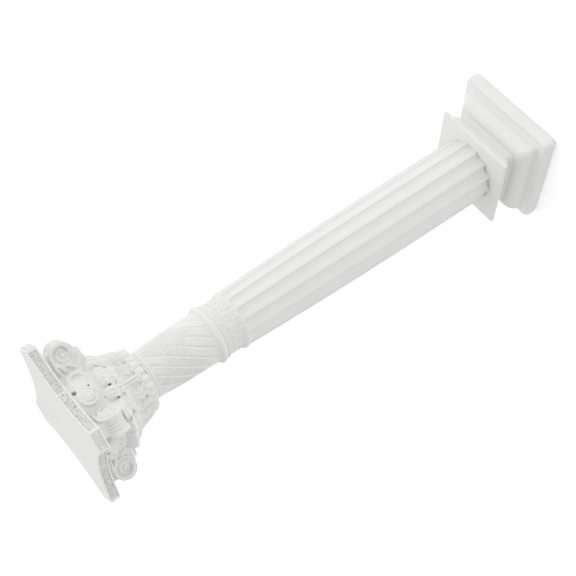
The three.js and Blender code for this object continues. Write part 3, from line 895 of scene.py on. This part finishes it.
def carve_abacus(sizes, obj):
    """Sinks the edge of the top plate round its scrollwork, leaving a thin frame"""
    points, normals = per_vertex(obj, "co") / MM, per_vertex(obj, "normal")
    up = points[:, 2] - (capital_high.z / MM - sizes.abacus / 2)
    quarter = np.round(np.arctan2(points[:, 1], points[:, 0]) / (math.pi / 2)) * (math.pi / 2)
    c, s = np.cos(quarter), np.sin(quarter)
    out = points[:, 0] * c + points[:, 1] * s
    along = -points[:, 0] * s + points[:, 1] * c
    on_horn = np.abs(normals[:, 0] * c + normals[:, 1] * s) < 0.88
    on_edge = (np.abs(normals[:, 2]) < 0.6) & (np.abs(up) < sizes.abacus / 2) & (out > 30)

    edge_half = (sizes.corner - sizes.horn) * math.sqrt(0.5)
    inside = FIELD_HALF - np.abs(up)
    field = ramp(np.minimum(inside, edge_half - 2.2 - np.abs(along)), 0, 0.45)
    cut = -sizes.carving * field * (1 - np.clip(winding_stem(along, up), -0.4, 1.1))
    across = np.sqrt(np.clip(out ** 2 + along ** 2 - sizes.corner ** 2, 0, None))
    horn_field = ramp(np.minimum(inside, sizes.horn - 1.3 - across), 0, 0.45)
    horn_cut = -sizes.carving * 0.85 * horn_field * (1 - np.clip(horn_ovals(across, up), 0, 1.1))
    points += normals * (np.where(on_horn, horn_cut, cut) * on_edge)[:, None]
    move_vertices(obj, points)


def capital_holes(sizes):
    """Small drilled holes that open up the carving, each side alike"""
    foot, top = capital_low.z / MM, capital_high.z / MM
    holes = []

    def hole(degrees, out, up, radius, depth, tilt):
        angle = math.radians(degrees)
        place = (out * math.cos(angle), out * math.sin(angle), up + (foot if up > 0 else top))
        holes.append((place, (math.cos(angle), math.sin(angle), tilt), radius, depth))

    edge_out = sizes.corner * math.sqrt(0.5) + 5
    for middle in (0, 90, 180, 270):
        for degrees, *size in MIDDLE_HOLES:
            hole(middle + degrees, *size)
        for side in (-1, 1):
            for degrees, *size in PAIRED_HOLES:
                hole(middle + side * degrees, *size)
            for along in EDGE_HOLES:
                degrees = math.degrees(math.atan2(side * along, 36))
                out = math.hypot(along, edge_out - sizes.hollow + sizes.hollow * (along / 38.7) ** 2)
                hole(middle + degrees, out, -2.6 - 2.8 * (along % WAVE > 6), 0.55, 1.8, 0)
    return holes


class COLUMN_OT_capital(bpy.types.Operator):
    """Make the capital: a leafy bell, scrolls and a hollow-sided top plate, fused into one casting"""

    bl_idname = "column.capital"
    bl_label = "Capital"

    def execute(self, context):
        sizes = from_mm(context.scene.column_capital)
        foot, top = capital_low.z / MM, capital_high.z / MM
        rise = top - foot
        bodies = [leafy_bell(sizes)]
        bodies += all_round(volute(sizes, rise - sizes.volute_drop), 4, math.radians(45))
        for side in (-1, 1):
            bodies += all_round(helix(sizes, rise - sizes.helix_drop, side), 4)
        points, faces = joined(bodies)
        points[:, 2] += foot
        capital = casting("capital_casting", *joined([(points, faces), abacus(sizes, top)]))
        fuse = capital.modifiers.new("fuse", "REMESH")
        fuse.mode = "VOXEL"
        fuse.voxel_size = sizes.voxel * MM
        soften = capital.modifiers.new("soften", "SMOOTH")
        soften.factor = 0.5
        soften.iterations = 1
        settle(capital)
        carve_abacus(sizes, capital)
        drilled(capital, capital_holes(sizes))

        points = per_vertex(capital, "co") / MM
        between_ends = (points[:, 2] < top - 0.3) & (points[:, 2] > foot + 0.3)
        points += per_vertex(capital, "normal") * (uneven(points, 4, 0.12) * between_ends)[:, None]
        points[:, 2] = np.clip(points[:, 2], foot + END_GAP, top - END_GAP)
        move_vertices(capital, points)
        thin = capital.modifiers.new("thin", "DECIMATE")
        thin.ratio = min(1, TRIANGLES / (2 * len(capital.data.polygons)))
        settle(capital)
        dressed(capital, "capital", 75)
        polygons = capital.data.polygons
        level = [face.normal.z > 0.99 and face.center.z > (top - 0.2) * MM for face in polygons]
        polygons.foreach_set("use_smooth", [not flat for flat in level])
        return {"FINISHED"}


# Stage


# Where the room is brightest, and the span over which its light rises to that from the dim side
BRIGHT_SIDE = (0.3, -0.2, 0.93)
BRIGHT_SPAN = (-0.45, 0.95)
LAMP_SIDE = (0.66, -0.58, 0.38)
# The floor's own faint light keeps it white
FLOOR_GLOW = 0.17


class StageSettings(bpy.types.PropertyGroup):
    """Where the camera stands, how it looks, and how wide the floor is"""

    eye: FloatVectorProperty(
        name="Camera place", description="Where the camera stands", default=(-0.394487, -0.782085, 0.55799),
        subtype="TRANSLATION", unit="LENGTH", size=3)
    azimuth: angle_of("Camera azimuth", -26.591, "Turn of the camera round the column, from the -Y side")
    elevation: angle_of("Camera elevation", 20.696, "How far the camera looks down")
    roll: angle_of("Camera roll", -122.84, "Turn of the camera about its own line of sight")
    lens: number_of("Lens", 78.8, "Focal length on a 36 mm sensor, in millimetres", 1000)
    floor_size: length("Floor", 60000, "Width of the floor")


class COLUMN_OT_stage(bpy.types.Operator):
    """Make the studio: a pale floor, light from all round, one broad lamp, and the camera"""

    bl_idname = "column.stage"
    bl_label = "Studio"

    def execute(self, context):
        scene = context.scene
        stage, finish = scene.column_stage, scene.column_finish
        scene.view_settings.view_transform = "Standard"

        camera_data = bpy.data.cameras.new("camera")
        camera_data.lens, camera_data.sensor_width = stage.lens, 36
        camera_data.clip_start, camera_data.clip_end = 0.05, 100
        camera = in_scene("camera", camera_data)
        turn = Matrix.Rotation(stage.azimuth, 3, "Z")
        turn = turn @ Matrix.Rotation(math.pi / 2 - stage.elevation, 3, "X")
        turn = turn @ Matrix.Rotation(stage.roll, 3, "Z")
        camera.matrix_world = Matrix.Translation(stage.eye) @ turn.to_4x4()
        scene.camera = camera

        bm = bmesh.new()
        bmesh.ops.create_grid(bm, x_segments=12, y_segments=12, size=stage.floor_size / 2)
        mesh = bpy.data.meshes.new("studio_floor")
        bm.to_mesh(mesh)
        bm.free()
        paint = bpy.data.materials.new("studio_white")
        paint.use_nodes = True
        fill(paint.node_tree, paint.node_tree.nodes["Principled BSDF"], {
            "Base Color": (*finish.floor, 1), "Roughness": 0.9, "Specular IOR Level": 0,
            "Emission Color": (1, 1, 1, 1), "Emission Strength": FLOOR_GLOW})
        mesh.materials.append(paint)
        in_scene("studio_floor", mesh)

        world = bpy.data.worlds.new("studio_room")
        world.use_nodes = True
        tree = world.node_tree
        place = new_node(tree, "ShaderNodeTexCoord", {}).outputs["Generated"]
        toward = new_node(tree, "ShaderNodeVectorMath", {0: place, 1: BRIGHT_SIDE}, operation="DOT_PRODUCT")
        strength = new_node(tree, "ShaderNodeMapRange", {
            "Value": toward.outputs["Value"], "From Min": BRIGHT_SPAN[0], "From Max": BRIGHT_SPAN[1],
            "To Min": finish.sky, "To Max": finish.zenith})
        fill(tree, tree.nodes["Background"], {
            "Color": (1, 1, 1, 1), "Strength": strength.outputs["Result"]})
        scene.world = world

        lamp_data = bpy.data.lights.new("broad_lamp", "SUN")
        lamp_data.energy = finish.lamp
        lamp_data.angle = finish.lamp_spread
        lamp = in_scene("broad_lamp", lamp_data)
        lamp.rotation_mode = "QUATERNION"
        lamp.rotation_quaternion = Vector(LAMP_SIDE).to_track_quat("Z", "Y")
        return {"FINISHED"}


class COLUMN_PT_sidebar(bpy.types.Panel):
    """The column's sizes and the operators that make its pieces"""

    bl_idname = "COLUMN_PT_sidebar"
    bl_label = "Plaster column"
    bl_space_type = "VIEW_3D"
    bl_region_type = "UI"
    bl_category = "Column"

    def draw(self, context):
        for title, operator, settings in (
                ("Studio", "column.stage", context.scene.column_stage),
                ("Base", "column.base", context.scene.column_base),
                ("Shaft", "column.shaft", context.scene.column_shaft),
                ("Capital", "column.capital", context.scene.column_capital),
                ("Finish", None, context.scene.column_finish)):
            box = self.layout.box()
            box.label(text=title)
            for prop in settings.bl_rna.properties:
                if prop.identifier not in ("rna_type", "name"):
                    box.prop(settings, prop.identifier)
            if operator:
                box.operator(operator)


SETTINGS = {
    "column_stage": StageSettings,
    "column_base": BaseSizes,
    "column_shaft": ShaftSizes,
    "column_capital": CapitalSizes,
    "column_finish": Finish,
}
CLASSES = (
    *SETTINGS.values(),
    COLUMN_OT_stage, COLUMN_OT_base, COLUMN_OT_shaft, COLUMN_OT_capital, COLUMN_PT_sidebar,
)


def register():
    """Adds the operators, the panel and the scene's settings"""
    for cls in CLASSES:
        bpy.utils.register_class(cls)
    for name, group in SETTINGS.items():
        setattr(bpy.types.Scene, name, PointerProperty(type=group))


def unregister():
    """Takes away what register added"""
    for name in SETTINGS:
        delattr(bpy.types.Scene, name)
    for cls in reversed(CLASSES):
        bpy.utils.unregister_class(cls)


def main():
    """Makes the studio and the column"""
    register()
    bpy.ops.column.stage()
    bpy.ops.column.base()
    bpy.ops.column.shaft()
    bpy.ops.column.capital()


if __name__ == "__main__":
    main()
